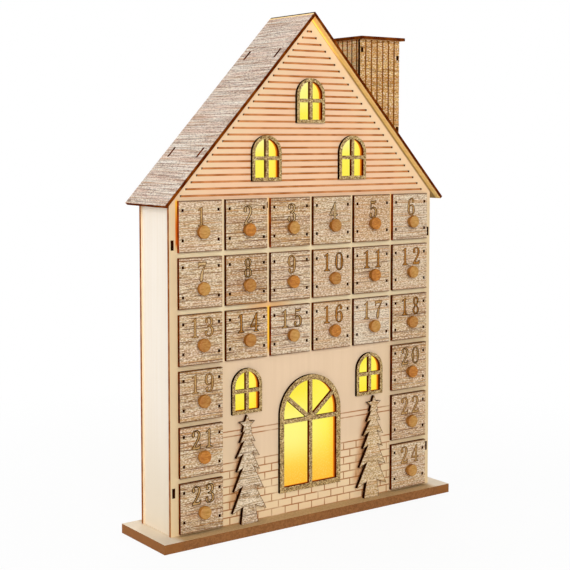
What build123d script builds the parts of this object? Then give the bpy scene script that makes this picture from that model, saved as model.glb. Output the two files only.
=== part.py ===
from build123d import *

import os
from math import cos, floor, pi, radians, sin, sqrt, tan

os.makedirs("parts", exist_ok=True)

# Wooden advent calendar: a narrow plywood town house on a board, with lit windows and a
# drawer for each day. X runs along the front, Y away from the viewer and Z up. The origin is
# the centre of the board's underside. All lengths are in millimetres.

# Board stock
house_ply = 2.7
print_board = 3.0
tray_board = 2.0
light_film = 0.4
base_thickness = 8.0

# Clearances and cuts
slot_clearance = 0.1
slide_clearance = 0.2
cut_overrun = 1.0
groove_depth = 0.4

# Grid of drawers: rows across the whole front, then rows at the two sides only
column_count = 6
top_row_count = 3
side_row_count = 3
front_width = 41.0
front_height = 41.8
column_gap = 4.0
row_gap = 4.2
side_margin = 5.0

# House, roof and base
house_depth = 48.0
wall_inset = 1.5
attic_seat = 0.9
roof_angle = 47.3
eave_overhang = 6.2
roof_front_overhang = 8.0
roof_back_overhang = 9.0
base_side_margin = 14.0
base_front_margin = 14.0

# Tabs that hold the house panels in each other
wall_tab = 8.0
wall_tab_shares = (0.13, 0.86)
roof_tab = 10.5
roof_tab_shares = (0.21, 0.735)
divider_tab = 5.0
divider_tab_drop = 11.0
wire_gap = 4.0

# Horizontal siding grooves in the gable
siding_pitch = 5.5
siding_groove = 1.7
siding_start = 2.0
siding_edge = 8.5
siding_least = 2.0

# Drawer tray behind its overlaid front
front_side_lap = 2.4
front_bottom_lap = 1.2
front_top_lap = 5.0
front_gap = 0.9
tray_play = 0.7
tray_rear_gap = 0.4
tray_tab_height = 2.3
tray_tab_shares = (0.24, 0.925)

# Turned knob
knob_diameter = 11.0
knob_length = 7.0
knob_foot_diameter = 7.6
knob_waist_diameter = 6.0
knob_spigot_diameter = 4.0
knob_drop = 4.5
knob_waist_share = 0.22
knob_shoulder_share = 0.5
knob_rim_share = 0.8
knob_face_share = 0.86
knob_dome = 0.4

# Window frames laid on the front
window_width = 30.0
window_height = 38.2
window_band = 2.9
window_bar = 3.1
window_transom_share = 0.5
gable_side_window_offset = 46.0
gable_side_foot_share = 0.084
gable_top_foot_share = 0.406
room_window_share = 0.588
room_window_drop = 6.5
door_width = 66.0
door_foot = 19.0
door_head_gap = 19.0
door_band = 4.5
door_bar = 3.5
door_transom_share = 0.615
door_fan_angle = 40.0
pane_rebate = 0.3
film_lap = 4.0

# Trees that stand before the front on spacer blocks
tree_spread = 34.0
tree_trunk_foot = 17.0
tree_trunk_head = 12.0
tree_lean = 1.6
tree_star_radius = 8.0
tree_star_inner_share = 0.42
tree_star_points = 5
tree_head_gap = 0.5
tree_spacer_thickness = 2.8
tree_spacer_width = 8.0
tree_spacer_shares = (0.2, 0.6)
tree_tip_rise_shares = (0.75, 0.615, 0.49, 0.31, 0.115)
tree_tip_reach_shares = (0.45, 0.68, 0.667, 0.89, 1.0)
tree_notch_rise_shares = (0.766, 0.652, 0.525, 0.355, 0.165)
tree_notch_reach_shares = (0.19, 0.26, 0.3, 0.34)

# Chimney on the right-hand slope
chimney_width = 45.5
chimney_depth = 45.0
chimney_setback = 2.0
chimney_centre_share = 0.574
chimney_cap_drop = 17.0
chimney_side_inset = 0.8
chimney_cap_side = 2.4
chimney_cap_front = 5.0
chimney_groove = 1.5
chimney_groove_pitch = 6.6
chimney_tab = 4.0
chimney_left_tab_drop = 9.0
chimney_right_tab_drop = 15.0
chimney_low_tab_rise = 13.0

# Battery box in the back, with its cells, sliding cover and switch
cell_diameter = 14.2
cell_length = 49.5
cell_tip_length = 1.0
cell_tip_diameter = 5.5
cell_gap = 0.6
cell_count = 2
contact_leaf = 0.5
contact_height = 9.0
box_wall = 1.5
box_rise = 7.0
flange_thickness = 1.5
flange_lap = 3.0
cover_thickness = 1.6
cover_lap = 2.0
cover_play = 0.3
rail_wall = 1.5
rail_lip = 1.2
rail_lip_reach = 1.6
grip_rib = 1.0
grip_pitch = 3.0
grip_height = 0.7
grip_count = 4
switch_bay = 12.5
switch_travel = 3.0
switch_knob_length = 4.0
switch_knob_width = 2.4
switch_knob_height = 1.8
switch_plate_length = 8.0
switch_plate_width = 6.0
switch_plate_thickness = 1.2

# String of lamps on the inside of the back
wire_diameter = 1.2
lamp_diameter = 4.0
lamp_length = 5.0
lamp_rise_shares = (0.15, 0.45, 0.75)

# Sizes that follow from the ones above
slope = radians(roof_angle)
row_count = top_row_count + side_row_count
column_pitch = front_width + column_gap
row_pitch = front_height + row_gap
house_width = column_count * column_pitch + 2 * side_margin
base_back_margin = roof_back_overhang
base_width = house_width + 2 * base_side_margin
base_depth = base_front_margin + house_depth + base_back_margin
base_top = base_thickness
front_y = base_front_margin - base_depth / 2
back_y = front_y + house_depth
front_inner_y = front_y + house_ply
back_inner_y = back_y - house_ply
shelf_back_y = back_inner_y - wire_gap
wall_outer = house_width / 2 - wall_inset
wall_inner = wall_outer - house_ply
slot_width = house_ply + 2 * slot_clearance
tabbed_dividers = range(1, column_count - 1, 2)


def shelf_top(row):
    """Height of the board that carries a row, counted from the lowest."""
    return base_top + house_ply + row * row_pitch


def column_x(column):
    """Centre of a column of drawers, counted from the left."""
    return (column - (column_count - 1) / 2) * column_pitch


attic_top = shelf_top(row_count)
eave_z = attic_top + attic_seat - (house_width / 2 - wall_inner) * tan(slope)
gable_rise = house_width / 2 * tan(slope)
apex_z = eave_z + gable_rise
ridge_z = apex_z + house_ply * (sin(slope) + cos(slope))
wall_top = eave_z + wall_inset * tan(slope) - slot_clearance
wall_height = wall_top - base_top
slope_length = (house_width / 2 + eave_overhang) / cos(slope)
roof_front_y = front_y - roof_front_overhang
roof_back_y = back_y + roof_back_overhang
roof_tab_places = [share * slope_length for share in roof_tab_shares]
wall_tab_heights = [base_top + share * wall_height for share in wall_tab_shares]
divider_tab_z = attic_top - divider_tab_drop
room_half_width = column_x(column_count - 2) + column_pitch / 2
room_ceiling_z = shelf_top(side_row_count)

tray_width = front_width - 2 * front_side_lap
tray_height = front_height - front_bottom_lap - front_top_lap
tray_inner_width = tray_width - 2 * tray_board
opening_width = tray_width + 2 * tray_play
opening_height = slide_clearance + tray_height + tray_play
plate_back_y = front_y - front_gap
plate_front_y = plate_back_y - print_board
tray_back_y = shelf_back_y - tray_rear_gap

door_height = room_ceiling_z - house_ply - base_top - door_foot - door_head_gap
door_z = base_top + door_foot
room_window_x = door_width / 2 + room_window_share * (room_half_width - door_width / 2)
room_window_z = room_ceiling_z - house_ply - room_window_drop - window_height
gable_side_z = eave_z + gable_side_foot_share * gable_rise
gable_top_z = eave_z + gable_top_foot_share * gable_rise
tree_height = room_window_z - base_top - tree_head_gap

# Every small window: name, centre and foot height
small_windows = {
    "gable_top_window": (0, gable_top_z),
    "gable_left_window": (-gable_side_window_offset, gable_side_z),
    "gable_right_window": (gable_side_window_offset, gable_side_z),
    "room_left_window": (-room_window_x, room_window_z),
    "room_right_window": (room_window_x, room_window_z),
}


def drawer_places():
    """Number, column and row of each drawer, rows counted from the lowest."""
    number = 0
    for row in reversed(range(row_count)):
        whole_row = row >= side_row_count
        for column in range(column_count):
            if whole_row or column in (0, column_count - 1):
                number += 1
                yield number, column, row


def upright(y):
    """Plane facing the viewer at depth y: its x is X and its y is Z."""
    return Plane(origin=(0, y, 0), x_dir=(1, 0, 0), z_dir=(0, -1, 0))


def sideways(x):
    """Plane facing +X at x: its x is Y and its y is Z."""
    return Plane(origin=(x, 0, 0), x_dir=(0, 1, 0), z_dir=(1, 0, 0))


def save(piece, name):
    """Labels a finished piece and writes it."""
    piece.label = name
    export_step(piece, f"parts/{name}.step")


def group(pieces):
    """Holds several separate pieces together as one node."""
    return Compound(children=pieces)


def span(low, high, bottom, top):
    """Rectangle in the current sketch from its two corners."""
    with Locations(((low + high) / 2, (bottom + top) / 2)):
        Rectangle(high - low, top - bottom)


def level_board(low_x, high_x, low_y, high_y, top):
    """Flat house board between two X and two Y limits, with its upper face at top."""
    with BuildPart() as board:
        with BuildSketch(Plane.XY.offset(top - house_ply)):
            span(low_x, high_x, low_y, high_y)
        extrude(amount=house_ply)
    return board.part


def arch(width, height, mode=Mode.ADD):
    """Round-topped outline that stands on the current location."""
    rise = width / 2
    Rectangle(width, height - rise, align=(Align.CENTER, Align.MIN), mode=mode)
    with Locations((0, height - rise)):
        Circle(rise, mode=mode)


def gable_outline():
    """Outline of the front and the back, with tabs that pass through the roof panels."""
    Polygon(
        (-house_width / 2, base_top),
        (house_width / 2, base_top),
        (house_width / 2, eave_z),
        (0, apex_z),
        (-house_width / 2, eave_z),
        align=None,
    )
    for side in (-1, 1):
        for place in roof_tab_places:
            with Locations((side * place * cos(slope), apex_z - place * sin(slope))):
                Rectangle(roof_tab, 2 * house_ply, rotation=-side * roof_angle)


def wall_tab_slots():
    """Slots in the front and the back for the tabs of the two side walls."""
    for side in (-1, 1):
        for height in wall_tab_heights:
            with Locations((side * (wall_outer + wall_inner) / 2, height)):
                Rectangle(slot_width, wall_tab + 2 * slot_clearance, mode=Mode.SUBTRACT)


# Base board
with BuildPart() as base_board:
    with BuildSketch():
        Rectangle(base_width, base_depth)
    extrude(amount=base_thickness)
save(base_board.part, "base_board")

# Front panel: openings for drawers, windows and door, tab slots and engraved siding
siding_room = gable_rise - siding_start - (siding_edge + siding_least) * tan(slope)
siding_count = 1 + floor(siding_room / siding_pitch)
with BuildPart() as front_panel:
    with BuildSketch(upright(front_inner_y)):
        gable_outline()
        wall_tab_slots()
        for number, column, row in drawer_places():
            with Locations((column_x(column), shelf_top(row))):
                Rectangle(
                    opening_width,
                    opening_height,
                    align=(Align.CENTER, Align.MIN),
                    mode=Mode.SUBTRACT,
                )
        for centre, foot in small_windows.values():
            with Locations((centre, foot + window_band - pane_rebate)):
                edge = 2 * (window_band - pane_rebate)
                arch(window_width - edge, window_height - edge, mode=Mode.SUBTRACT)
        with Locations((0, door_z + door_band - pane_rebate)):
            edge = 2 * (door_band - pane_rebate)
            arch(door_width - edge, door_height - edge, mode=Mode.SUBTRACT)
        for index in tabbed_dividers:
            with Locations((column_x(index) + column_pitch / 2, divider_tab_z)):
                Rectangle(slot_width, divider_tab + 2 * slot_clearance, mode=Mode.SUBTRACT)
    extrude(amount=house_ply)
    with BuildSketch(upright(front_y)):
        for index in range(siding_count):
            rise = siding_start + index * siding_pitch
            half_length = (gable_rise - rise) / tan(slope) - siding_edge
            with Locations((0, eave_z + rise)):
                Rectangle(2 * half_length, siding_groove)
    extrude(amount=-groove_depth, mode=Mode.SUBTRACT)
save(front_panel.part, "front_panel")

# Battery box sizes, which the back panel's cut-out shares
chamber_length = cell_length + cell_tip_length + 2 * contact_leaf
chamber_height = cell_count * cell_diameter + (cell_count + 1) * cell_gap
chamber_depth = cell_diameter + 2 * cell_gap
box_length = chamber_length + switch_bay + 3 * box_wall
box_height = chamber_height + 2 * box_wall
box_low_x = -box_length / 2
chamber_low_x = box_low_x + box_wall
chamber_high_x = chamber_low_x + chamber_length
bay_low_x = chamber_high_x + box_wall
bay_high_x = bay_low_x + switch_bay
box_z = attic_top + box_rise + box_height / 2
mouth_y = back_y + flange_thickness
chamber_floor_y = mouth_y - chamber_depth
box_front_y = chamber_floor_y - box_wall
cover_length = chamber_length + 2 * cover_lap
cover_height = chamber_height + 2 * cover_lap
cover_low_x = chamber_low_x - cover_lap
cover_high_x = chamber_high_x + cover_lap
cover_low_y = mouth_y + slide_clearance
cover_high_y = cover_low_y + cover_thickness
rail_inner = cover_height / 2 + cover_play
flange_height = 2 * (rail_inner + rail_wall) + flange_lap
flange_length = box_length + 2 * flange_lap

# Back panel
with BuildPart() as back_panel:
    with BuildSketch(upright(back_y)):
        gable_outline()
        wall_tab_slots()
        with Locations((0, box_z)):
            Rectangle(
                box_length + 2 * slot_clearance,
                box_height + 2 * slot_clearance,
                mode=Mode.SUBTRACT,
            )
    extrude(amount=house_ply)
save(back_panel.part, "back_panel")

# Side walls, each with two tabs at the front and two at the back
for name, low_x in (("left_wall", -wall_outer), ("right_wall", wall_inner)):
    with BuildPart() as side_wall:
        with BuildSketch(sideways(low_x)):
            span(front_inner_y, back_inner_y, base_top, wall_top)
            for height in wall_tab_heights:
                span(front_y, back_y, height - wall_tab / 2, height + wall_tab / 2)
        extrude(amount=house_ply)
    save(side_wall.part, name)


def slope_plane(side):
    """Underside of a roof panel: its x runs down the slope from the apex, its z outwards."""
    return Plane(
        origin=(0, 0, apex_z),
        x_dir=(side * cos(slope), 0, -sin(slope)),
        z_dir=(side * sin(slope), 0, cos(slope)),
    )


# Roof panels, the right-hand one lapping over the upper edge of the left-hand one
for name, side, lap in (("left_roof_panel", -1, 0), ("right_roof_panel", 1, house_ply)):
    with BuildPart() as roof_panel:
        with BuildSketch(slope_plane(side)):
            low_y, high_y = sorted((side * roof_front_y, side * roof_back_y))
            span(-lap, slope_length, low_y, high_y)
            for place in roof_tab_places:
                for middle_y in ((front_y + front_inner_y) / 2, (back_y + back_inner_y) / 2):
                    with Locations((place, side * middle_y)):
                        Rectangle(roof_tab + 2 * slot_clearance, slot_width, mode=Mode.SUBTRACT)
        extrude(amount=house_ply)
    save(roof_panel.part, name)

# Floor, room ceiling and attic floor
floor_panel = level_board(-wall_inner, wall_inner, front_inner_y, back_inner_y, shelf_top(0))
save(floor_panel, "floor_panel")
room_ceiling = level_board(-wall_inner, wall_inner, front_inner_y, shelf_back_y, room_ceiling_z)
save(room_ceiling, "room_ceiling")
attic_floor = level_board(-wall_inner, wall_inner, front_inner_y, shelf_back_y, attic_top)
save(attic_floor, "attic_floor")

# Shelves and dividers of the upper rows, halved into each other
lap_y = (front_inner_y + shelf_back_y) / 2
divider_places = [column_x(index) + column_pitch / 2 for index in range(column_count - 1)]
middle_rows = range(side_row_count + 1, row_count)
for name, row in zip(("shelf_lower", "shelf_upper"), middle_rows):
    with BuildPart() as shelf:
        with BuildSketch(Plane.XY.offset(shelf_top(row) - house_ply)):
            span(-wall_inner, wall_inner, front_inner_y, shelf_back_y)
            for place in divider_places:
                with Locations((place, lap_y)):
                    Rectangle(
                        slot_width,
                        shelf_back_y - lap_y + cut_overrun,
                        align=(Align.CENTER, Align.MIN),
                        mode=Mode.SUBTRACT,
                    )
        extrude(amount=house_ply)
    save(shelf.part, name)

dividers = []
for index, place in enumerate(divider_places):
    with BuildPart() as divider:
        with BuildSketch(sideways(place - house_ply / 2)):
            span(front_inner_y, shelf_back_y, room_ceiling_z, attic_top - house_ply)
            if index in tabbed_dividers:
                half_tab = divider_tab / 2
                span(front_y, lap_y, divider_tab_z - half_tab, divider_tab_z + half_tab)
            for row in middle_rows:
                with Locations((lap_y + slot_clearance, shelf_top(row) - house_ply / 2)):
                    Rectangle(
                        lap_y - front_inner_y + cut_overrun,
                        slot_width,
                        align=(Align.MAX, Align.CENTER),
                        mode=Mode.SUBTRACT,
                    )
        extrude(amount=house_ply)
    divider.part.label = f"divider_{index + 1}"
    dividers.append(divider.part)
save(group(dividers), "cell_dividers")

# Walls of the lit room and the short shelves beside it
room_sides = []
side_shelves = []
for side in (-1, 1):
    place = side * room_half_width
    with BuildPart() as room_side:
        with BuildSketch(sideways(place - house_ply / 2)):
            span(front_inner_y, shelf_back_y, shelf_top(0), room_ceiling_z - house_ply)
        extrude(amount=house_ply)
    room_sides.append(room_side.part)
    low_x, high_x = sorted((side * (room_half_width + house_ply / 2), side * wall_inner))
    for row in range(1, side_row_count):
        short_shelf = level_board(low_x, high_x, front_inner_y, shelf_back_y, shelf_top(row))
        side_shelves.append(short_shelf)
save(group(room_sides), "room_sides")
save(group(side_shelves), "side_shelves")


def drawer_front(centre_x, tray_z):
    """Printed front with slots for the tray's tabs and a hole for the knob."""
    front_z = tray_z - front_bottom_lap
    with BuildPart() as front:
        with BuildSketch(upright(plate_back_y)):
            half_width = front_width / 2
            span(centre_x - half_width, centre_x + half_width, front_z, front_z + front_height)
            for side in (-1, 1):
                for share in tray_tab_shares:
                    middle_x = centre_x + side * (tray_width - tray_board) / 2
                    with Locations((middle_x, tray_z + share * tray_height)):
                        Rectangle(
                            tray_board + 2 * slot_clearance,
                            tray_tab_height + 2 * slot_clearance,
                            mode=Mode.SUBTRACT,
                        )
            with Locations((centre_x, front_z + front_height / 2 - knob_drop)):
                Circle(knob_spigot_diameter / 2 + slot_clearance, mode=Mode.SUBTRACT)
        extrude(amount=print_board)
    front.part.label = "front"
    return front.part


def drawer_side(low_x, tray_z):
    """Tray side with two tabs that reach the face of the front."""
    with BuildPart() as tray_side:
        with BuildSketch(sideways(low_x)):
            span(plate_back_y, tray_back_y, tray_z, tray_z + tray_height)
            for share in tray_tab_shares:
                middle_z = tray_z + share * tray_height
                half_tab = tray_tab_height / 2
                span(plate_front_y, tray_back_y, middle_z - half_tab, middle_z + half_tab)
        extrude(amount=tray_board)
    tray_side.part.label = "side"
    return tray_side.part


def drawer_back(centre_x, tray_z):
    """Tray back between the two sides."""
    with BuildPart() as tray_back:
        with BuildSketch(upright(tray_back_y)):
            half_width = tray_inner_width / 2
            span(centre_x - half_width, centre_x + half_width, tray_z, tray_z + tray_height)
        extrude(amount=tray_board)
    tray_back.part.label = "back"
    return tray_back.part


def drawer_bottom(centre_x, tray_z):
    """Tray bottom between the sides, the front and the back."""
    with BuildPart() as tray_bottom:
        with BuildSketch(Plane.XY.offset(tray_z)):
            half_width = tray_inner_width / 2
            span(centre_x - half_width, centre_x + half_width, plate_back_y, tray_back_y - tray_board)
        extrude(amount=tray_board)
    tray_bottom.part.label = "bottom"
    return tray_bottom.part


def drawer_knob(centre_x, centre_z):
    """Turned knob with a spigot in the front: cove, rim and slightly domed face."""
    turning_plane = Plane(
        origin=(centre_x, plate_front_y, centre_z),
        x_dir=(1, 0, 0),
        z_dir=(0, 0, -1),
    )
    head = knob_diameter / 2
    face = knob_face_share * head
    shoulder = (head, knob_shoulder_share * knob_length)
    rim = (head, knob_rim_share * knob_length)
    edge = (face, knob_length - knob_dome)
    with BuildPart() as knob:
        with BuildSketch(turning_plane):
            with BuildLine():
                Polyline(
                    (0, knob_length),
                    (0, -print_board),
                    (knob_spigot_diameter / 2, -print_board),
                    (knob_spigot_diameter / 2, 0),
                    (knob_foot_diameter / 2, 0),
                )
                ThreePointArc(
                    (knob_foot_diameter / 2, 0),
                    (knob_waist_diameter / 2, knob_waist_share * knob_length),
                    shoulder,
                )
                Line(shoulder, rim)
                TangentArc(rim, edge, tangent=(0, 1))
                Line(edge, (0, knob_length))
            make_face()
        revolve(axis=Axis((centre_x, plate_front_y, centre_z), (0, -1, 0)))
    knob.part.label = "knob"
    return knob.part


# Drawers
for number, column, row in drawer_places():
    middle = column_x(column)
    tray_z = shelf_top(row) + slide_clearance
    knob_z = tray_z - front_bottom_lap + front_height / 2 - knob_drop
    drawer_pieces = [
        drawer_front(middle, tray_z),
        drawer_side(middle - tray_width / 2, tray_z),
        drawer_side(middle + tray_width / 2 - tray_board, tray_z),
        drawer_back(middle, tray_z),
        drawer_bottom(middle, tray_z),
        drawer_knob(middle, knob_z),
    ]
    save(group(drawer_pieces), f"drawer_{number:02d}")

# Small round-topped windows, each with a cross of glazing bars
for name, (centre, foot) in small_windows.items():
    with BuildPart() as window_frame:
        with BuildSketch(upright(front_y)):
            with Locations((centre, foot)):
                arch(window_width, window_height)
            with Locations((centre, foot + window_band)):
                inner_width = window_width - 2 * window_band
                inner_height = window_height - 2 * window_band
                arch(inner_width, inner_height, mode=Mode.SUBTRACT)
            with Locations((centre, foot + window_height / 2)):
                Rectangle(window_bar, window_height - window_band)
            with Locations((centre, foot + window_transom_share * window_height)):
                Rectangle(window_width - window_band, window_bar)
        extrude(amount=house_ply)
    save(window_frame.part, name)

# Door window: mullion, transom and two bars that fan out to the arch
door_radius = door_width / 2
hub_z = door_z + door_transom_share * door_height
hub_drop = door_z + door_height - door_radius - hub_z
fan = radians(door_fan_angle)
fan_end_radius = door_radius - door_band / 2
fan_length = hub_drop * sin(fan) + sqrt(fan_end_radius**2 - (hub_drop * cos(fan)) ** 2)
with BuildPart() as door_window:
    with BuildSketch(upright(front_y)):
        with Locations((0, door_z)):
            arch(door_width, door_height)
        with Locations((0, door_z + door_band)):
            arch(door_width - 2 * door_band, door_height - 2 * door_band, mode=Mode.SUBTRACT)
        with Locations((0, door_z + door_height / 2)):
            Rectangle(door_bar, door_height - door_band)
        with Locations((0, hub_z)):
            Rectangle(door_width - door_band, door_bar)
        for side in (-1, 1):
            middle_reach = fan_length / 2
            middle_x = side * middle_reach * cos(fan)
            with Locations((middle_x, hub_z + middle_reach * sin(fan))):
                Rectangle(fan_length, door_bar, rotation=side * door_fan_angle)
    extrude(amount=house_ply)
save(door_window.part, "door_window")

# Yellow light films on the inside of the front, over the gable and the room
film_back_y = front_inner_y + light_film
film_side = gable_side_window_offset + window_width / 2 + film_lap
film_shoulder_z = gable_side_z + window_height + film_lap
film_head = window_width / 2 + film_lap
with BuildPart() as gable_light_sheet:
    with BuildSketch(upright(film_back_y)):
        Polygon(
            (-film_side, gable_side_z - film_lap),
            (film_side, gable_side_z - film_lap),
            (film_side, film_shoulder_z),
            (film_head, gable_top_z + window_height + film_lap),
            (-film_head, gable_top_z + window_height + film_lap),
            (-film_side, film_shoulder_z),
            align=None,
        )
    extrude(amount=light_film)
save(gable_light_sheet.part, "gable_light_sheet")

with BuildPart() as room_light_sheet:
    with BuildSketch(upright(film_back_y)):
        reach = room_window_x + window_width / 2
        span(-reach, reach, door_z - film_lap, room_window_z + window_height)
    extrude(amount=light_film)
save(room_light_sheet.part, "room_light_sheet")


def lean_shift(side, rise):
    """Sideways shift of a tree at a height above its foot, because it leans outwards."""
    return side * rise * tan(radians(tree_lean))


def tree_outline(side):
    """Barbed fir outline, from the star's centre down one side and up the other."""
    half_spread = tree_spread / 2
    reach = [share * half_spread for share in tree_notch_reach_shares] + [tree_trunk_head / 2]
    right = []
    for tier, rise_share in enumerate(tree_tip_rise_shares):
        tip_reach = tree_tip_reach_shares[tier] * half_spread
        right.append((tip_reach, rise_share * tree_height))
        right.append((reach[tier], tree_notch_rise_shares[tier] * tree_height))
    right.append((tree_trunk_foot / 2, 0))
    left = [(-x, z) for x, z in reversed(right)]
    upright_points = [(0, tree_height - tree_star_radius)] + right + left
    return [(x + lean_shift(side, z), z) for x, z in upright_points]


def star_outline():
    """Star with one point up, about the sketch's origin."""
    corners = []
    for index in range(2 * tree_star_points):
        radius = tree_star_radius * (tree_star_inner_share if index % 2 else 1)
        turn = pi * index / tree_star_points
        corners.append((radius * sin(turn), radius * cos(turn)))
    return corners


# Trees, each with a spacer block behind it
tree_back_y = front_y - tree_spacer_thickness
for name, side in (("tree_left", -1), ("tree_right", 1)):
    tree_plane = Plane(
        origin=(side * room_window_x, tree_back_y, base_top),
        x_dir=(1, 0, 0),
        z_dir=(0, -1, 0),
    )
    with BuildPart() as tree:
        with BuildSketch(tree_plane):
            Polygon(*tree_outline(side), align=None)
            star_z = tree_height - tree_star_radius
            with Locations((lean_shift(side, star_z), star_z)):
                Polygon(*star_outline(), align=None)
        extrude(amount=print_board)
    with BuildPart() as spacer:
        with BuildSketch(tree_plane):
            low_z, high_z = (share * tree_height for share in tree_spacer_shares)
            middle_z = (low_z + high_z) / 2
            with Locations((lean_shift(side, middle_z), middle_z)):
                Rectangle(tree_spacer_width, high_z - low_z)
        extrude(amount=-tree_spacer_thickness)
    tree.part.label = "tree"
    spacer.part.label = "spacer"
    save(group([tree.part, spacer.part]), name)

# Chimney: two faces and two sides cut to the roof slope, under a flat cap
chimney_x = chimney_centre_share * house_width / 2
chimney_low_x = chimney_x - chimney_width / 2
chimney_high_x = chimney_x + chimney_width / 2
chimney_front_y = front_y + chimney_setback
chimney_back_y = chimney_front_y + chimney_depth
chimney_top = ridge_z - chimney_cap_drop - house_ply
chimney_side_x = {-1: chimney_low_x + chimney_side_inset, 1: chimney_high_x - chimney_side_inset}


def roof_z(x):
    """Height of the right-hand roof panel's outer face."""
    return apex_z + house_ply / cos(slope) - x * tan(slope)


chimney_tab_heights = {
    -1: (chimney_top - chimney_left_tab_drop,),
    1: (chimney_top - chimney_right_tab_drop, roof_z(chimney_high_x) + chimney_low_tab_rise),
}


def chimney_section(low_x, high_x):
    """Upright strip between two X limits, from the roof to the chimney's top."""
    Polygon(
        (low_x, roof_z(low_x)),
        (high_x, roof_z(high_x)),
        (high_x, chimney_top),
        (low_x, chimney_top),
        align=None,
    )


groove_span = chimney_top - roof_z(chimney_high_x)
groove_middle_z = (chimney_top + roof_z(chimney_high_x)) / 2
front_groove_count = floor(chimney_width / chimney_groove_pitch)
side_groove_count = floor((chimney_depth - 2 * house_ply) / chimney_groove_pitch)
faces = (
    ("chimney_front", chimney_front_y + house_ply, chimney_front_y, -groove_depth),
    ("chimney_back", chimney_back_y, chimney_back_y, groove_depth),
)
for name, plate_y, outer_y, groove_cut in faces:
    with BuildPart() as chimney_face:
        with BuildSketch(upright(plate_y)):
            chimney_section(chimney_low_x, chimney_high_x)
            for side, heights in chimney_tab_heights.items():
                for height in heights:
                    with Locations((chimney_side_x[side] - side * house_ply / 2, height)):
                        Rectangle(slot_width, chimney_tab + 2 * slot_clearance, mode=Mode.SUBTRACT)
        extrude(amount=house_ply)
        with BuildSketch(upright(outer_y)):
            with Locations((chimney_x, groove_middle_z)):
                with GridLocations(chimney_groove_pitch, 0, front_groove_count, 1):
                    Rectangle(chimney_groove, groove_span + cut_overrun)
        extrude(amount=groove_cut, mode=Mode.SUBTRACT)
    save(chimney_face.part, name)

chimney_sides = []
for side, outer_x in chimney_side_x.items():
    low_x, high_x = sorted((outer_x, outer_x - side * house_ply))
    with BuildPart() as chimney_side:
        with BuildSketch(upright(chimney_back_y - house_ply)):
            chimney_section(low_x, high_x)
        extrude(amount=chimney_depth - 2 * house_ply)
        with BuildSketch(upright(chimney_back_y)):
            for height in chimney_tab_heights[side]:
                span(low_x, high_x, height - chimney_tab / 2, height + chimney_tab / 2)
        extrude(amount=chimney_depth)
        with BuildSketch(sideways(outer_x)):
            with Locations(((chimney_front_y + chimney_back_y) / 2, groove_middle_z)):
                with GridLocations(chimney_groove_pitch, 0, side_groove_count, 1):
                    Rectangle(chimney_groove, groove_span + cut_overrun)
        extrude(amount=-side * groove_depth, mode=Mode.SUBTRACT)
    chimney_sides.append(chimney_side.part)
save(group(chimney_sides), "chimney_sides")

with BuildPart() as chimney_cap:
    with BuildSketch(Plane.XY.offset(chimney_top)):
        span(
            chimney_low_x - chimney_cap_side,
            chimney_high_x + chimney_cap_side,
            chimney_front_y - chimney_cap_front,
            chimney_back_y + chimney_cap_front,
        )
    extrude(amount=house_ply)
save(chimney_cap.part, "chimney_cap")

# Battery box: a chamber for the cells, a bay for the switch, a flange and two cover rails
switch_slot_length = switch_knob_length + switch_travel + 2 * slide_clearance
switch_slot_x = (bay_low_x + bay_high_x) / 2
rail_top_y = cover_high_y + slide_clearance
with BuildPart() as battery_box:
    with BuildSketch(upright(back_y)):
        with Locations((0, box_z)):
            Rectangle(box_length, box_height)
    extrude(amount=back_y - box_front_y)
    with BuildSketch(upright(mouth_y)):
        with Locations((0, box_z)):
            Rectangle(flange_length, flange_height)
    extrude(amount=flange_thickness)
    for side in (-1, 1):
        inner, outer = side * rail_inner, side * (rail_inner + rail_wall)
        lip_edge = side * (rail_inner - rail_lip_reach)
        with BuildSketch(upright(rail_top_y + rail_lip)):
            span(cover_low_x, cover_high_x, *sorted((box_z + inner, box_z + outer)))
        extrude(amount=rail_top_y + rail_lip - mouth_y)
        with BuildSketch(upright(rail_top_y + rail_lip)):
            span(cover_low_x, cover_high_x, *sorted((box_z + lip_edge, box_z + outer)))
        extrude(amount=rail_lip)
    with BuildSketch(upright(mouth_y)):
        span(
            chamber_low_x,
            chamber_high_x,
            box_z - chamber_height / 2,
            box_z + chamber_height / 2,
        )
    extrude(amount=chamber_depth, mode=Mode.SUBTRACT)
    with BuildSketch(upright(back_y)):
        span(bay_low_x, bay_high_x, box_z - chamber_height / 2, box_z + chamber_height / 2)
    extrude(amount=back_y - box_front_y + cut_overrun, mode=Mode.SUBTRACT)
    with BuildSketch(upright(mouth_y + cut_overrun)):
        with Locations((switch_slot_x, box_z)):
            Rectangle(switch_slot_length, switch_knob_width + 2 * slide_clearance)
    extrude(amount=flange_thickness + 2 * cut_overrun, mode=Mode.SUBTRACT)
save(battery_box.part, "battery_box")

# Sliding cover of the battery box, with grip ribs at its leading end
with BuildPart() as battery_cover:
    with BuildSketch(upright(cover_high_y)):
        with Locations(((cover_low_x + cover_high_x) / 2, box_z)):
            Rectangle(cover_length, cover_height)
    extrude(amount=cover_thickness)
    with BuildSketch(upright(cover_high_y + grip_height)):
        grip_span = (grip_count - 1) * grip_pitch
        with Locations((cover_high_x - grip_span, box_z)):
            with GridLocations(grip_pitch, 0, grip_count, 1):
                Rectangle(grip_rib, chamber_height / 2)
    extrude(amount=grip_height)
save(battery_cover.part, "battery_cover")

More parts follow.
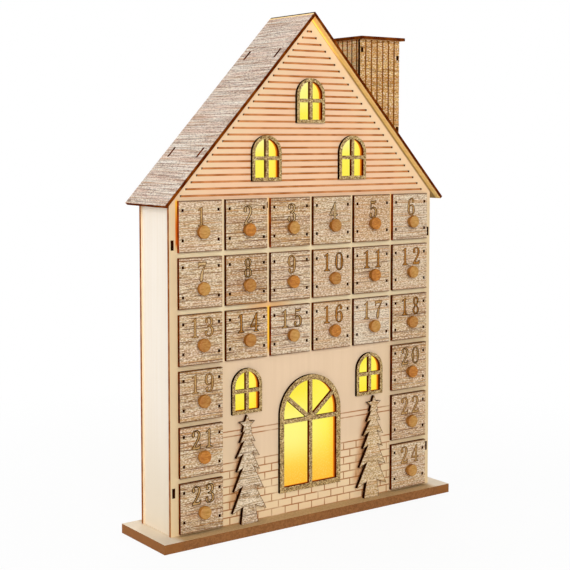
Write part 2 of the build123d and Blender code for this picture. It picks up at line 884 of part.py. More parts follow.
# Slide switch: a knob through the flange on a plate behind it
switch_low_x = switch_slot_x - switch_slot_length / 2 + slide_clearance
switch_x = switch_low_x + switch_knob_length / 2
with BuildPart() as power_switch:
    with BuildSketch(upright(back_y - slide_clearance)):
        with Locations((switch_x, box_z)):
            Rectangle(switch_plate_length, switch_plate_width)
    extrude(amount=switch_plate_thickness)
    with BuildSketch(upright(mouth_y + switch_knob_height)):
        with Locations((switch_x, box_z)):
            Rectangle(switch_knob_length, switch_knob_width)
    extrude(amount=switch_knob_height + flange_thickness + slide_clearance)
save(power_switch.part, "power_switch")

# Cells, lying opposite ways, and the flat contacts at their ends
cell_y = chamber_floor_y + cell_gap + cell_diameter / 2
cell_pitch = cell_diameter + cell_gap
batteries = []
contacts = []
for index in range(cell_count):
    direction = 1 if index % 2 else -1
    cell_z = box_z + (index - (cell_count - 1) / 2) * cell_pitch
    foot_x = (chamber_low_x if direction == 1 else chamber_high_x) + direction * contact_leaf
    cell_plane = Plane(origin=(foot_x, cell_y, cell_z), x_dir=(0, 1, 0), z_dir=(direction, 0, 0))
    with BuildPart() as cell:
        with BuildSketch(cell_plane):
            Circle(cell_diameter / 2)
        extrude(amount=cell_length)
        with BuildSketch(cell_plane):
            Circle(cell_tip_diameter / 2)
        extrude(amount=cell_length + cell_tip_length)
    batteries.append(cell.part)
    for contact_x in (chamber_low_x, chamber_high_x - contact_leaf):
        with BuildPart() as contact:
            with BuildSketch(sideways(contact_x)):
                with Locations((cell_y, cell_z)):
                    Rectangle(contact_height, contact_height)
            extrude(amount=contact_leaf)
        contacts.append(contact.part)
save(group(batteries), "batteries")
save(group(contacts), "battery_contacts")

# Lamp wires: straight runs along the inside of the back, away from the battery box
wire_y = back_inner_y - slot_clearance - wire_diameter / 2
lamp_foot_y = wire_y - wire_diameter / 2
gable_lamp_z = gable_top_z + window_height / 2
room_lamp_z = room_window_z + window_height / 2
lowest_lamp_z = door_z + lamp_rise_shares[0] * door_height
box_high_z = box_z + box_height / 2
box_low_z = box_z - box_height / 2
box_high_x = box_low_x + box_length
wire_end = lamp_diameter / 2


def wire_run(start, end):
    """Round wire between two points of the lamp wires' plane, given as X and Z."""
    start_point = Vector(start[0], wire_y, start[1])
    run = Vector(end[0], wire_y, end[1]) - start_point
    with BuildPart() as wire:
        with BuildSketch(Plane(origin=start_point, z_dir=run.normalized())):
            Circle(wire_diameter / 2)
        extrude(amount=run.length)
    return wire.part


branch = wire_diameter / 2 + slot_clearance
wires = [
    wire_run((0, box_high_z), (0, gable_lamp_z + wire_end)),
    wire_run((0, box_low_z), (0, lowest_lamp_z - wire_end)),
    wire_run((box_low_x, box_z), (-gable_side_window_offset - wire_end, box_z)),
    wire_run((box_high_x, box_z), (gable_side_window_offset + wire_end, box_z)),
    wire_run((-branch, room_lamp_z), (-room_window_x - wire_end, room_lamp_z)),
    wire_run((branch, room_lamp_z), (room_window_x + wire_end, room_lamp_z)),
]
save(group(wires), "led_wire")

# Lamps: domed beads on the wire, behind the windows
lamp_places = [
    (0, gable_lamp_z),
    (-gable_side_window_offset, box_z),
    (gable_side_window_offset, box_z),
    (-room_window_x, room_lamp_z),
    (room_window_x, room_lamp_z),
]
lamp_places += [(0, door_z + share * door_height) for share in lamp_rise_shares]
lamps = []
for lamp_x, lamp_z in lamp_places:
    lamp_radius = lamp_diameter / 2
    lamp_plane = Plane(origin=(lamp_x, lamp_foot_y, lamp_z), x_dir=(1, 0, 0), z_dir=(0, 0, -1))
    with BuildPart() as lamp:
        with BuildSketch(lamp_plane):
            with BuildLine():
                Polyline(
                    (0, lamp_length),
                    (0, 0),
                    (lamp_radius, 0),
                    (lamp_radius, lamp_length - lamp_radius),
                )
                RadiusArc((lamp_radius, lamp_length - lamp_radius), (0, lamp_length), -lamp_radius)
            make_face()
        revolve(axis=Axis((lamp_x, lamp_foot_y, lamp_z), (0, -1, 0)))
    lamps.append(lamp.part)
save(group(lamps), "led_bulbs")
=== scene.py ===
import math

import bmesh
import bpy
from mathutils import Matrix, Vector


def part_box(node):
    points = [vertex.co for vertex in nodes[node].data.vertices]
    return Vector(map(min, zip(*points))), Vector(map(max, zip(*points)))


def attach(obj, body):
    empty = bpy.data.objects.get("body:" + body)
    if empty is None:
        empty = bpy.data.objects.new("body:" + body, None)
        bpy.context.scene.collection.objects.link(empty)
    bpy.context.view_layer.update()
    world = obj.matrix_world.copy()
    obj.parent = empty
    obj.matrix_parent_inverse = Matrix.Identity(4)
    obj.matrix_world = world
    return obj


# Looks of the wooden advent calendar: plywood, washed-wood print, burnt laser edges, glitter
# frames, lit films and engraved numbers. Lengths are millimetres up to the camera's section.
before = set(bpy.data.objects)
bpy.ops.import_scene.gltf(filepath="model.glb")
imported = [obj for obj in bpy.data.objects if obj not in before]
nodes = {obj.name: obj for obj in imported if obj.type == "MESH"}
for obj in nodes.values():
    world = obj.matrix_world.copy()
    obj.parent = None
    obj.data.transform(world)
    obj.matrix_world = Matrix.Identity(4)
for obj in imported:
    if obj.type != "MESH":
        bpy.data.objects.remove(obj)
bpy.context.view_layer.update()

per_metre = 1000.0

# How squarely a face looks along an axis to count as facing that way, and a margin between two faces
facing = 0.9
face_margin = 0.05

# Sizes that the finishes share with the model
house_ply = 2.7
knob_length = 7.0
plate_thickness = 3.0
tab_width = 2.0
tab_height = 2.3
tab_offset = 17.1
tab_rises = (9.74, 34.13)
groove_depth = 0.4
siding_edge = 8.5

# Grain of the plywood: changes per millimetre along X, Y and Z
front_grain = (0.3, 0.3, 0.01)
wall_grain = (0.5, 0.25, 0.008)
back_grain = (0.5, 0.5, 0.012)
board_grain = (0.012, 0.3, 0.5)
depth_grain = (0.3, 0.012, 0.3)
cloud_grain = (0.02, 0.02, 0.009)

# Streaks of the washed print: length and width
broad_streak = (60.0, 6.0)
dark_streak = (60.0, 0.6)
streak_break = (12.0, 1.5)
ochre_streak = (70.0, 0.9)
fleck_size = (2.0, 0.85)
print_fibre = (11.0, 1.2)
roof_fibre = (45.0, 1.0)

# Engraving of the front
brick_top = 60.8
brick_courses = 8
brick_length = 14.3
brick_shift = 3.0
brick_side = 92.0
cornice_heights = (87.5, 83.2)
engraved_line = 0.42
engraved_fade = 0.35

# Tones of the front and the side walls: where foot, margins and the painted light on the lattice fade, and
# the gable's reach
foot_fade = (30.0, 80.0)
margin_fade = (60.0, 130.0)
lattice_light_fade = (128.0, 134.0)
gable_fade = 11.0
verge_reach = 45.0
wall_foot_fade = (20.0, 130.0)

# Drawers beside which light leaks out: width of the glow, height share where it turns yellow, strength
light_leaks = {1: (1.7, 0.8, 1.0), 3: (0.9, 1.0, 0.45), 6: (0.9, 0.9, 0.45), 15: (2.2, 0.1, 1.0)}
leak_core_share = 0.35
leak_turn = 14.0
leak_foot_fade = 8.0

# Shade beside the trees: where branches and star stand on a tree's height, and the shade's reach
tree_branch_share = 0.17
tree_star_share = 0.85
shade_reach = 4.0

# Engraved numbers, and how far each one-figure number stands below its front's top
number_height = 15.6
number_pitch = 13.0
number_offset = 1.0
number_drop = 3.6
single_number_drops = {1: 5.5, 2: 5.8, 3: 5.4, 4: 5.2, 5: 5.3, 6: 4.2, 7: 4.4, 8: 3.7, 9: 3.3}
number_line = 0.36
figure_width_shares = {"8": 0.86}
number_fill_depth = 0.05

# Numbers whose outline or field is burnt darker or lighter than the rest
dark_outlines = (4, 8, 10, 14, 20, 21, 23)
light_outlines = (1, 6, 7, 9, 12, 13, 16, 17, 19, 22, 24)
dark_fields = (10, 11, 12, 14, 16, 18)
light_fields = (2, 3, 4, 7)

# Drawers whose print has more ochre, fewer dark streaks, a darker shade or a white wash
front_tan_shares = {
    3: 0.2, 5: 0.6, 6: 0.2, 8: 0.15, 10: 0.5, 11: 0.3, 12: 0.2, 15: 0.1, 16: 0.35, 20: 0.15, 22: 0.4,
}
front_dark_shares = {1: 0.4, 4: 0.4, 5: 0.2, 6: 0.6, 10: 0.2, 12: 0.4, 16: 0.3, 17: 0.5, 24: 0.4}
front_shade_shares = {2: 0.05, 8: 0.26, 20: 0.05, 23: 0.08}
front_wash_shares = {
    1: 0.14, 4: 0.08, 5: 0.18, 6: 0.38, 7: 0.08, 9: 0.18, 10: 0.28, 11: 0.18, 12: 0.2, 15: 0.34, 16: 0.22,
    17: 0.5, 22: 0.18, 24: 0.12,
}
plain_tan_share = 0.05

# Steps from one drawer to the next in the wood and print that they are cut from
front_print_step = Vector((67.0, 0.0, 31.0))
knob_wood_step = Vector((17.0, 5.0, 11.0))

# Knobs of paler and of redder wood than the rest, and how squarely a knob's end faces the front
pale_knobs = (1, 3, 6, 7, 12, 15, 17, 22, 23, 24)
red_knobs = (2, 5, 9, 11, 16, 20, 21)
knob_end_facing = 0.5

# Place of each tree in the print, and the charred line around it
tree_print_offsets = {"tree_left": (300.0, 0.0, 40.0), "tree_right": (390.0, 0.0, 40.0)}
tree_rim_line = 0.22

# Width of a window frame's outer rim, for telling it from the rim of its panes
frame_rim_width = 0.5

# Boards that lie level inside the house
level_boards = ("floor_panel", "room_ceiling", "attic_floor", "shelf_lower", "shelf_upper", "side_shelves")


def box_mm(node):
    """Lowest and highest corner of a CAD node, in millimetres."""
    low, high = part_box(node)
    return low * per_metre, high * per_metre


front_low, front_high = box_mm("front_panel")
facade_y = front_low.y
apex_z = front_high.z
base_top = front_low.z
roof_slope = math.acos((box_mm("left_roof_panel")[1].z - apex_z) / house_ply)
eave_z = apex_z - front_high.x * math.tan(roof_slope)
drawer_names = sorted(name for name in nodes if name.startswith("drawer_"))
window_names = sorted(name for name in nodes if name.endswith("_window"))


def rgb(red, green, blue):
    """Linear colour from 8-bit display values."""
    linear = []
    for value in (red, green, blue):
        share = value / 255
        linear.append(share / 12.92 if share <= 0.04045 else ((share + 0.055) / 1.055) ** 2.4)
    return (*linear, 1.0)


leak_yellow = rgb(255, 196, 62)
white_wash = rgb(244, 232, 212)


def add_node(tree, kind, inputs, output=0, **settings):
    """Adds a shader node with its settings and inputs, and returns one of its outputs."""
    made = tree.nodes.new(kind)
    for name, value in settings.items():
        setattr(made, name, value)
    for socket, value in inputs.items():
        if isinstance(value, bpy.types.NodeSocket):
            tree.links.new(value, made.inputs[socket])
        else:
            made.inputs[socket].default_value = value
    return made.outputs[output]


class Finish:
    """Node tree of one material, in millimetres of the frame."""

    def __init__(self, name, roughness, specular=0.2):
        self.material = bpy.data.materials.new(name)
        self.material.use_nodes = True
        self.tree = self.material.node_tree
        self.shader = self.tree.nodes["Principled BSDF"]
        self.shader.inputs["Roughness"].default_value = roughness
        self.shader.inputs["Specular IOR Level"].default_value = specular
        source = self.node("ShaderNodeTexCoord", {}, output="Object")
        self.place = self.node(
            "ShaderNodeVectorMath", {0: source, "Scale": per_metre}, operation="SCALE"
        )
        split = self.tree.nodes.new("ShaderNodeSeparateXYZ")
        self.tree.links.new(self.place, split.inputs[0])
        self.x, self.y, self.z = split.outputs

    def node(self, kind, inputs, output=0, **settings):
        return add_node(self.tree, kind, inputs, output, **settings)

    def math(self, operation, first, second=0.0):
        """Result of a calculation with one or two values."""
        return self.node("ShaderNodeMath", {0: first, 1: second}, operation=operation)

    def plus(self, first, second):
        return self.math("ADD", first, second)

    def minus(self, first, second):
        return self.math("SUBTRACT", first, second)

    def times(self, first, *others):
        """Product of two or more values."""
        for other in others:
            first = self.math("MULTIPLY", first, other)
        return first

    def noise(self, frequency, offset=(0, 0, 0), detail=2.0, roughness=0.5):
        """Noise with its own frequency per millimetre along each axis."""
        moved = self.node("ShaderNodeVectorMath", {0: self.place, 1: offset}, operation="ADD")
        place = self.node("ShaderNodeVectorMath", {0: moved, 1: frequency}, operation="MULTIPLY")
        inputs = {"Vector": place, "Scale": 1.0, "Detail": detail, "Roughness": roughness}
        return self.node("ShaderNodeTexNoise", inputs)

    def rise(self, value, low, high):
        """Smooth step from 0 at low to 1 at high."""
        inputs = {"Value": value, "From Min": low, "From Max": high}
        return self.node("ShaderNodeMapRange", inputs, interpolation_type="SMOOTHSTEP")

    def fall(self, value, low, high):
        """Smooth step from 1 at low to 0 at high."""
        inputs = {"Value": value, "From Min": low, "From Max": high, "To Min": 1.0, "To Max": 0.0}
        return self.node("ShaderNodeMapRange", inputs, interpolation_type="SMOOTHSTEP")

    def band(self, value, start, end):
        """Mask that rises over the range start and falls over the range end."""
        return self.times(self.rise(value, *start), self.fall(value, *end))

    def mix(self, share, first, second):
        """Colour between two colours."""
        return self.node("ShaderNodeMix", {0: share, 6: first, 7: second}, output=2, data_type="RGBA")

    def over(self, colour, other, *shares):
        """Colour with another laid over it, as strongly as the product of the shares."""
        return self.mix(self.times(*shares), colour, other)

    def away(self, value, centre):
        """Distance of a value from a centre."""
        return self.math("ABSOLUTE", self.minus(value, centre))

    def from_middle(self):
        """Distance from the middle of the house along X."""
        return self.math("ABSOLUTE", self.x)

    def stripe(self, value, pitch):
        """Distance of a value from the nearest multiple of a pitch."""
        turns = self.math("DIVIDE", value, pitch)
        nearest = self.math("ROUND", turns)
        return self.times(self.away(turns, nearest), pitch)

    def line(self, distance):
        """Mask of an engraved line from the distance to its middle."""
        return self.fall(distance, engraved_line - engraved_fade / 2, engraved_line + engraved_fade)

    def bump(self, height, strength, depth=0.2):
        """Relief from a height share, its depth in millimetres."""
        inputs = {"Height": height, "Strength": strength, "Distance": depth / per_metre}
        self.tree.links.new(self.node("ShaderNodeBump", inputs), self.shader.inputs["Normal"])

    def colour(self, value):
        self.tree.links.new(value, self.shader.inputs["Base Color"])

    def glow(self, colour, strength):
        """Light that the surface gives off."""
        self.tree.links.new(colour, self.shader.inputs["Emission Color"])
        if isinstance(strength, bpy.types.NodeSocket):
            self.tree.links.new(strength, self.shader.inputs["Emission Strength"])
        else:
            self.shader.inputs["Emission Strength"].default_value = strength


def wood_grain(finish, pale, warm, grain):
    """Colour and relief of sanded basswood, with soft clouds and long faint streaks."""
    streak = finish.noise(grain, detail=4.0, roughness=0.6)
    cloud = finish.noise(cloud_grain)
    share = finish.times(finish.plus(finish.rise(streak, 0.3, 0.75), cloud), 0.55)
    finish.bump(streak, 0.15)
    return finish.mix(share, pale, warm)


def basswood(name, pale, warm, grain):
    """Bare plywood face."""
    finish = Finish(name, roughness=0.6)
    finish.colour(wood_grain(finish, pale, warm, grain))
    return finish.material


def wall_wood():
    """Side wall: pale plywood that yellows towards its foot."""
    finish = Finish("wall_ply", roughness=0.6)
    wood = wood_grain(finish, rgb(251, 242, 231), rgb(244, 232, 215), wall_grain)
    finish.colour(finish.over(wood, rgb(236, 222, 200), finish.fall(finish.z, *wall_foot_fade)))
    return finish.material


def engraved_lines(finish):
    """Mask of the engraved bricks and cornice."""
    course = (brick_top - base_top) / brick_courses
    height = finish.minus(finish.z, base_top)
    beds = finish.line(finish.stripe(height, course))
    row = finish.math("FLOOR", finish.math("DIVIDE", height, course))
    half_bricks = finish.times(finish.math("MODULO", row, 2.0), brick_length / 2)
    along = finish.minus(finish.plus(finish.x, half_bricks), brick_shift)
    joints = finish.line(finish.stripe(along, brick_length))
    joints = finish.times(joints, finish.math("LESS_THAN", finish.z, brick_top))
    below = finish.fall(finish.z, brick_top + engraved_line, brick_top + 2 * engraved_line)
    inside = finish.fall(finish.from_middle(), brick_side, brick_side + 1.0)
    lines = finish.times(finish.math("MAXIMUM", beds, joints), below)
    for cornice_z in cornice_heights:
        lines = finish.math("MAXIMUM", lines, finish.line(finish.away(finish.z, cornice_z)))
    uneven = finish.rise(finish.noise((0.08, 0.08, 0.08)), 0.1, 0.6)
    return finish.times(lines, inside, uneven)


def leaked_light(finish, number, colour, mask):
    """Adds the light that leaks past the left edge of one drawer: yellow above, red below."""
    width, yellow_share, strength = light_leaks[number]
    low, high = box_mm(f"drawer_{number:02d}")
    outwards = finish.minus(low.x, finish.x)
    strip = finish.fall(outwards, leak_core_share * width, width)
    beside = finish.math("GREATER_THAN", outwards, -width)
    ends = finish.band(finish.z, (low.z, low.z + leak_foot_fade), (high.z - 1.0, high.z + 2.0))
    leak = finish.times(strip, beside, ends, strength)
    turn_z = low.z + yellow_share * (high.z - low.z)
    height = finish.rise(finish.z, turn_z - leak_turn, turn_z + leak_turn)
    warm = finish.mix(height, rgb(200, 88, 12), leak_yellow)
    return finish.mix(leak, colour, warm), finish.math("MAXIMUM", mask, leak)


def tree_shade(finish, name):
    """Mask of the shade that a tree throws on the front, to the left of its branches."""
    low, high = box_mm(name)
    branch_z = low.z + tree_branch_share * (high.z - low.z)
    star_z = low.z + tree_star_share * (high.z - low.z)
    lean = ((high.x - low.x) / 2 - shade_reach) / (star_z - branch_z)
    outline = finish.times(finish.minus(finish.z, branch_z), lean)
    inwards = finish.minus(finish.minus(finish.x, low.x), outline)
    beside = finish.band(inwards, (-shade_reach, 3.0), (6.0, 3 * shade_reach))
    height = finish.band(
        finish.z, (branch_z - shade_reach, branch_z + shade_reach), (star_z - 3 * shade_reach, star_z)
    )
    return finish.times(beside, height)


def gable_half_width(finish):
    """Half of the gable's width at the height of a point."""
    return finish.math("DIVIDE", finish.minus(apex_z, finish.z), math.tan(roof_slope))


def drawer_lattice(finish):
    """Mask of painted light that lightens the bars between the full rows of drawers against the drawers'
    shade.
    """
    low_z = box_mm("drawer_14")[0].z
    high_z = box_mm("drawer_02")[1].z
    rows = finish.band(finish.z, (low_z - 1.0, low_z + 1.0), (high_z - 1.0, high_z + 1.0))
    return finish.times(rows, finish.fall(finish.from_middle(), *lattice_light_fade))


def warm_bar(finish):
    """Mask of the bar above drawer 15, which catches the light that leaks out beside it."""
    low, high = box_mm("drawer_15")
    above = finish.fall(finish.away(finish.z, high.z + 2.0), 2.0, 3.5)
    return finish.times(above, finish.fall(finish.away(finish.x, low.x), 6.0, 34.0))


def facade_wood(finish):
    """Bare plywood of the front, with the tones of its gable, foot and margins, painted light on its bars and
    painted tree shades.
    """
    wood = wood_grain(finish, rgb(240, 211, 178), rgb(234, 204, 170), front_grain)
    gable = finish.rise(finish.z, eave_z - 1.0 - gable_fade, eave_z - 1.0)
    to_verge = finish.minus(gable_half_width(finish), finish.from_middle())
    margin = finish.times(finish.rise(finish.from_middle(), *margin_fade), finish.minus(1.0, gable))
    wood = finish.over(wood, rgb(242, 212, 172), gable, 0.8)
    wood = finish.over(wood, rgb(247, 204, 166), gable, finish.rise(to_verge, 0.0, verge_reach))
    wood = finish.over(wood, rgb(250, 224, 180), finish.fall(finish.z, *foot_fade), 0.7)
    wood = finish.over(wood, rgb(226, 202, 154), margin, 0.6)
    # Painted light: the bars between the drawer rows lightened against the shade of the drawers
    wood = finish.over(wood, rgb(255, 234, 192), drawer_lattice(finish), 0.95)
    wood = finish.over(wood, rgb(255, 190, 118), warm_bar(finish), 0.7)
    for name in tree_print_offsets:
        wood = finish.over(wood, rgb(206, 138, 70), tree_shade(finish, name), 0.6)
    return wood


def facade():
    """Front of the house: bare plywood with engraved bricks and cornice, light leaks, and painted shade and
    light along the joint with the roof.
    """
    finish = Finish("facade_ply", roughness=0.6)
    colour = finish.mix(engraved_lines(finish), facade_wood(finish), rgb(176, 112, 58))

    # Painted shade along the joint with the right roof's underside, turning to painted light, orange and
    # yellow, near the ridge
    roof_joint_shade = finish.fall(finish.minus(gable_half_width(finish), finish.x), 0.7, 1.5)
    near_ridge = finish.rise(finish.z, apex_z - 60.0, apex_z - 10.0)
    roof_joint_shade_and_light = finish.mix(near_ridge, rgb(140, 92, 30), rgb(236, 150, 40))
    colour = finish.over(colour, roof_joint_shade_and_light, roof_joint_shade, 0.6)

    glow_colour, glow_mask = leak_yellow, 0.0
    for number in light_leaks:
        glow_colour, glow_mask = leaked_light(finish, number, glow_colour, glow_mask)
    finish.colour(finish.mix(glow_mask, colour, rgb(40, 14, 4)))
    finish.glow(glow_colour, glow_mask)
    return finish.material


def siding_groove():
    """Floor of the siding grooves: toasted orange brown, charred at both ends."""
    finish = Finish("siding_groove", roughness=0.7, specular=0.0)
    tone = finish.noise((0.06, 0.06, 0.06), detail=3.0)
    brown = finish.mix(finish.rise(tone, 0.3, 0.7), rgb(222, 150, 94), rgb(180, 104, 48))
    half_length = finish.minus(gable_half_width(finish), siding_edge)
    to_end = finish.minus(half_length, finish.from_middle())
    finish.colour(finish.over(brown, rgb(56, 22, 2), finish.fall(to_end, 0.8, 2.0)))
    return finish.material


def burnt_edge(name, char, toast):
    """Laser-cut edge: matt and charred, with toasted patches and fine ply lines."""
    finish = Finish(name, roughness=0.75, specular=0.0)
    patch = finish.noise((0.12, 0.12, 0.12), detail=3.0)
    fibre = finish.noise((1.6, 1.6, 1.6))
    finish.bump(fibre, 0.3)
    finish.colour(finish.over(char, toast, finish.rise(patch, 0.35, 0.7), finish.rise(fibre, 0.25, 0.6)))
    return finish.material


def washed_print(
    name, grain, tones, offset=(0, 0, 0), tan_share=0.0, dark_share=0.7, shade_share=0.0, wash_share=0.0,
    burnt_z=(), fibre=print_fibre,
):
    """Washed-wood print: thin pale, dark, ochre and rosy streaks along the grain, and fine flecks.
    The face is browned along its edges at the heights burnt_z."""
    pale, middle, dark, ochre, rose = tones
    along, across = grain
    finish = Finish(name, roughness=0.7)

    def streaks(size, detail=1.0):
        length, width = size
        frequency = [along[i] / length + across[i] / width for i in range(3)]
        return finish.noise(frequency, offset=offset, detail=detail)

    fine = streaks(fibre)
    colour = finish.mix(finish.rise(fine, 0.38, 0.62), middle, pale)
    colour = finish.over(colour, rose, finish.rise(streaks(broad_streak, detail=2.0), 0.45, 0.65), 0.45)
    for other, share in ((ochre, tan_share), (dark, shade_share), (white_wash, wash_share)):
        colour = finish.over(colour, other, share)
    fleck = streaks(fleck_size)
    colour = finish.over(colour, dark, finish.fall(fleck, 0.32, 0.5), 0.6)
    colour = finish.over(colour, white_wash, finish.rise(fleck, 0.5, 0.66), 0.8)
    colour = finish.over(colour, ochre, finish.rise(streaks(ochre_streak), 0.56, 0.66), 0.6)
    dark_lines = finish.fall(streaks(dark_streak), 0.38, 0.46)
    unbroken = finish.rise(streaks(streak_break), 0.38, 0.5)
    colour = finish.over(colour, dark, dark_lines, unbroken, 0.9 * dark_share)
    for edge_z in burnt_z:
        darkened = finish.fall(finish.away(finish.z, edge_z), 0.5, 1.3)
        colour = finish.over(colour, rgb(104, 62, 22), darkened, 0.8)
    finish.bump(fine, 0.2)
    finish.colour(colour)
    return finish.material


def fibreboard(name, pale, dark, ends):
    """Fibreboard with a fine mottle, and another colour at its ends beyond the house."""
    finish = Finish(name, roughness=0.7)
    mottle = finish.noise((0.5, 0.5, 0.5), detail=4.0, roughness=0.7)
    cloud = finish.noise((0.03, 0.03, 0.03))
    share = finish.times(finish.plus(finish.rise(mottle, 0.38, 0.62), cloud), 0.55)
    beyond = finish.rise(finish.from_middle(), front_high.x - 8.0, front_high.x + 2.0)
    finish.bump(mottle, 0.2)
    finish.colour(finish.over(finish.mix(share, pale, dark), ends, beyond, 0.75))
    return finish.material


def glitter():
    """Gold glitter paint: fine flakes of different brightness."""
    finish = Finish("glitter_paint", roughness=0.45)
    finish.shader.inputs["Metallic"].default_value = 0.2
    flakes = {"Vector": finish.place, "Scale": 1.3}
    flake = finish.node("ShaderNodeTexVoronoi", flakes, output="Color")
    value = finish.node("ShaderNodeSeparateColor", {0: flake})
    colour = finish.mix(finish.rise(value, 0.0, 0.8), rgb(100, 74, 38), rgb(200, 166, 110))
    finish.bump(value, 0.4)
    finish.colour(finish.over(colour, rgb(238, 218, 168), finish.rise(value, 0.86, 1.0)))
    return finish.material


def knob_wood(number, middle_x):
    """Turned knob: end grain of pale, red or plain wood, with painted shade that browns it towards the left.
    """
    finish = Finish(f"knob_wood_{number:02d}", roughness=0.5)
    pale, deep = rgb(190, 138, 72), rgb(164, 106, 46)
    if number in pale_knobs:
        pale, deep = rgb(204, 156, 88), rgb(178, 126, 58)
    if number in red_knobs:
        pale, deep = rgb(204, 136, 58), rgb(168, 100, 36)
    grain = finish.noise((0.25, 0.25, 0.7), offset=knob_wood_step * number, detail=4.0, roughness=0.6)
    colour = finish.mix(finish.rise(grain, 0.34, 0.66), pale, deep)
    # Painted shade of the domed end, browner towards its left
    darkened = finish.fall(finish.minus(finish.x, middle_x), -5.5, 0.5)
    finish.bump(grain, 0.12)
    finish.colour(finish.over(colour, rgb(164, 96, 46), darkened, 0.4))
    return finish.material


def lit_film(name, middle, side, head_colour, foot_colour, side_foot_colour):
    """Yellow film behind a middle and two side windows, lit from behind: orange at the right of each
    window, the middle one with a pale spot and a foot of its own colour."""
    finish = Finish(name, roughness=0.5)
    finish.shader.inputs["Base Color"].default_value = rgb(24, 16, 4)
    middle_low, middle_high = box_mm(middle)
    side_low, side_high = box_mm(side)
    at_side = finish.math("GREATER_THAN", finish.from_middle(), (middle_high.x + side_low.x) / 2)

    def here(of_middle, of_side):
        """Value of the window at hand."""
        return finish.plus(finish.times(at_side, of_side - of_middle), of_middle)

    centre = finish.times(finish.math("SIGN", finish.x), here(0.0, (side_low.x + side_high.x) / 2))
    half_width = here(middle_high.x, (side_high.x - side_low.x) / 2)
    height = here(middle_high.z - middle_low.z, side_high.z - side_low.z)
    across = finish.math("DIVIDE", finish.minus(finish.x, centre), half_width)
    up = finish.math("DIVIDE", finish.minus(finish.z, here(middle_low.z, side_low.z)), height)

    foot = finish.mix(at_side, foot_colour, side_foot_colour)
    colour = finish.mix(finish.rise(up, 0.0, 0.6), foot, rgb(254, 244, 84))
    colour = finish.over(colour, head_colour, finish.rise(up, 0.5, 0.95), finish.fall(across, -0.6, 0.9))
    spot = finish.times(finish.fall(finish.away(up, 0.52), 0.05, 0.35), finish.fall(across, -0.4, 0.8))
    colour = finish.over(colour, rgb(254, 251, 156), spot, here(0.5, 0.0))
    colour = finish.over(colour, rgb(255, 182, 26), finish.rise(across, 0.6, 0.95), 0.45)
    grain = finish.rise(finish.noise((0.8, 0.8, 0.8), detail=1.0), 0.45, 0.75)
    finish.glow(finish.over(colour, rgb(255, 236, 130), grain, 0.35), 1.0)
    return finish.material


def lit_ply_edge():
    """Cut edge of a window opening in the light of the lamps: orange at the film, red at the front."""
    finish = Finish("lit_ply_edge", roughness=0.7)
    finish.shader.inputs["Base Color"].default_value = rgb(90, 36, 8)
    depth = finish.rise(finish.y, facade_y - 0.3, facade_y + house_ply)
    red = finish.mix(finish.noise((0.3, 0.3, 0.3)), rgb(128, 34, 0), rgb(176, 66, 4))
    finish.glow(finish.mix(depth, red, rgb(250, 140, 20)), 0.85)
    return finish.material


def roof_underside():
    """Bare underside of the roof panels: cream, with painted shade along its joint with the front, glowing
    where light leaks out at the ridge.
    """
    finish = Finish("roof_underside_ply", roughness=0.65)
    wood = wood_grain(finish, rgb(252, 220, 142), rgb(230, 192, 110), depth_grain)
    verge_y = box_mm("right_roof_panel")[0].y
    rim = finish.fall(finish.y, verge_y + 1.5, verge_y + 3.5)
    wood = finish.over(wood, rgb(255, 218, 148), rim, 0.8)
    high = finish.rise(finish.z, apex_z - 50.0, apex_z - 8.0)
    # Painted shade: a dark line where the underside meets the front, fading out towards the ridge
    corner = finish.rise(finish.y, facade_y - 2.4, facade_y - 1.2)
    finish.colour(finish.over(wood, rgb(120, 78, 20), corner, finish.minus(0.65, high)))
    near = finish.fall(finish.away(finish.y, facade_y), 0.5, 4.5)
    strength = finish.times(high, finish.plus(finish.times(near, 0.7), 0.1))
    finish.glow(finish.mix(near, rgb(236, 150, 60), rgb(255, 206, 60)), strength)
    return finish.material


def ridge_edge():
    """Upper end of the right-hand roof panel: burnt above, with light on its lower half."""
    finish = Finish("ridge_edge", roughness=0.7, specular=0.0)
    left_top = apex_z + house_ply * math.cos(roof_slope)
    burnt = finish.rise(finish.z, left_top + 0.85, left_top + 1.15)
    colour = finish.mix(burnt, rgb(255, 228, 168), rgb(50, 18, 4))
    finish.colour(colour)
    finish.glow(colour, 0.25)
    return finish.material


def moulded_plastic(name, pale, dark, roughness):
    """Moulded plastic with a fine spark texture."""
    finish = Finish(name, roughness)
    spark = finish.noise((2.2, 2.2, 2.2))
    finish.bump(spark, 0.1, depth=0.1)
    finish.colour(finish.mix(spark, pale, dark))
    return finish.material


def spring_steel():
    """Plated contact leaf with rolling marks."""
    finish = Finish("contact_steel", roughness=0.35)
    finish.shader.inputs["Metallic"].default_value = 1.0
    marks = finish.noise((0.2, 3.0, 0.2))
    finish.bump(marks, 0.1, depth=0.05)
    finish.colour(finish.mix(marks, rgb(208, 206, 200), rgb(170, 168, 160)))
    return finish.material


def lamp():
    """Warm lamp bead."""
    finish = Finish("lamp_bead", roughness=0.3)
    core = finish.noise((0.4, 0.4, 0.4), detail=1.0)
    colour = finish.mix(core, rgb(255, 226, 150), rgb(255, 206, 110))
    finish.colour(colour)
    finish.glow(colour, 1.0)
    return finish.material


def burnt_ink(name, pale, dark):
    """Laser engraving, unevenly burnt."""
    finish = Finish(name, roughness=0.8, specular=0.0)
    uneven = finish.noise((0.7, 0.7, 0.7), detail=3.0)
    finish.colour(finish.mix(finish.rise(uneven, 0.35, 0.65), dark, pale))
    return finish.material


def paint(node, choose):
    """Gives each face of a CAD node the material that suits its centre and normal."""
    mesh = nodes[node].data
    mesh.materials.clear()
    slots = {}
    for polygon in mesh.polygons:
        material = choose(polygon.center * per_metre, polygon.normal)
        if material.name not in slots:
            slots[material.name] = len(slots)
            mesh.materials.append(material)
        polygon.material_index = slots[material.name]


def sheet_rule(axis, face, edge):
    """Rule for a flat board: one finish on its two faces and another on its edges."""
    return lambda centre, normal: face if abs(normal[axis]) > facing else edge


